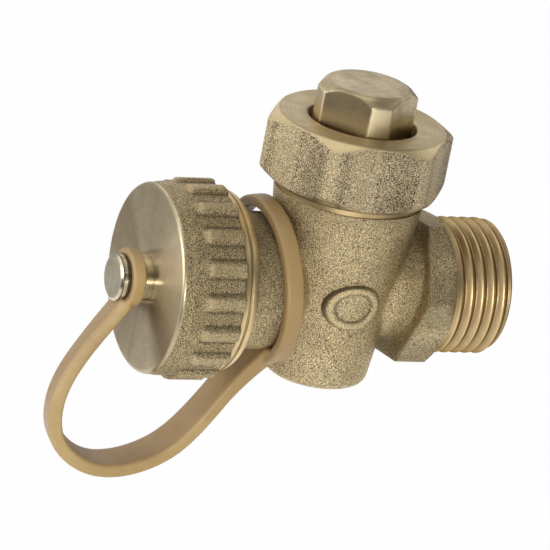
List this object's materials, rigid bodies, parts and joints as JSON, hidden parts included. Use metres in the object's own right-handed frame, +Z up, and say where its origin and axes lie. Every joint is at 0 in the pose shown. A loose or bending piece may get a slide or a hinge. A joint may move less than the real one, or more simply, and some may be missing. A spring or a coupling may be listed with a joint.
{
  "type": "drain cock",
  "caption": "Brass taper-plug drain cock with a threaded boiler port, square-headed plug under a hexagon gland nut, and a ribbed screw cap kept on the hose outlet by a moulded strap.",
  "frame": {"origin": "on the pipe axis at the shoulder where the boiler thread starts", "axes": "+X along the pipe out of the boiler thread, +Z up along the plug, +Y across"},
  "size_m": [0.0698, 0.0304, 0.064],
  "materials": {
    "cast_brass": "blasted casting",
    "turned_brass": "satin turned",
    "forged_brass": "blasted forging with turned faces",
    "pin_brass": "bright turned",
    "packing": "matte",
    "gasket_rubber": "matte",
    "strap_plastic": "semi-matte, slightly translucent"
  },
  "bodies": {
    "valve": {"valve_body": "cast_brass", "packing_ring": "packing", "gland_ring": "turned_brass", "gland_nut": "forged_brass"},
    "plug": {"plug": "turned_brass"},
    "strap": {"strap": "strap_plastic"},
    "cap": {"screw_cap": "forged_brass", "cap_gasket": "gasket_rubber", "strap_pin": "pin_brass"}
  },
  "joints": [
    {"name": "plug_turn", "type": "hinge", "parent": "valve", "child": "plug", "pos_m": [-0.0164, 0, 0], "axis": [0, 0, 1], "continuous": true},
    {"name": "cap_travel", "type": "slide", "parent": "valve", "child": "strap", "axis": [-1, 0, 0], "range_m": [0, 0.00726], "deforming": ["strap"]},
    {"name": "cap_turn", "type": "hinge", "parent": "strap", "child": "cap", "pos_m": [-0.0441, 0, 0], "axis": [-1, 0, 0], "range_deg": [0, 1440]}
  ],
  "couplings": [
    {"joint": "cap_travel", "follows": "cap_turn", "m_per_rad": 0.00028871}
  ]
}
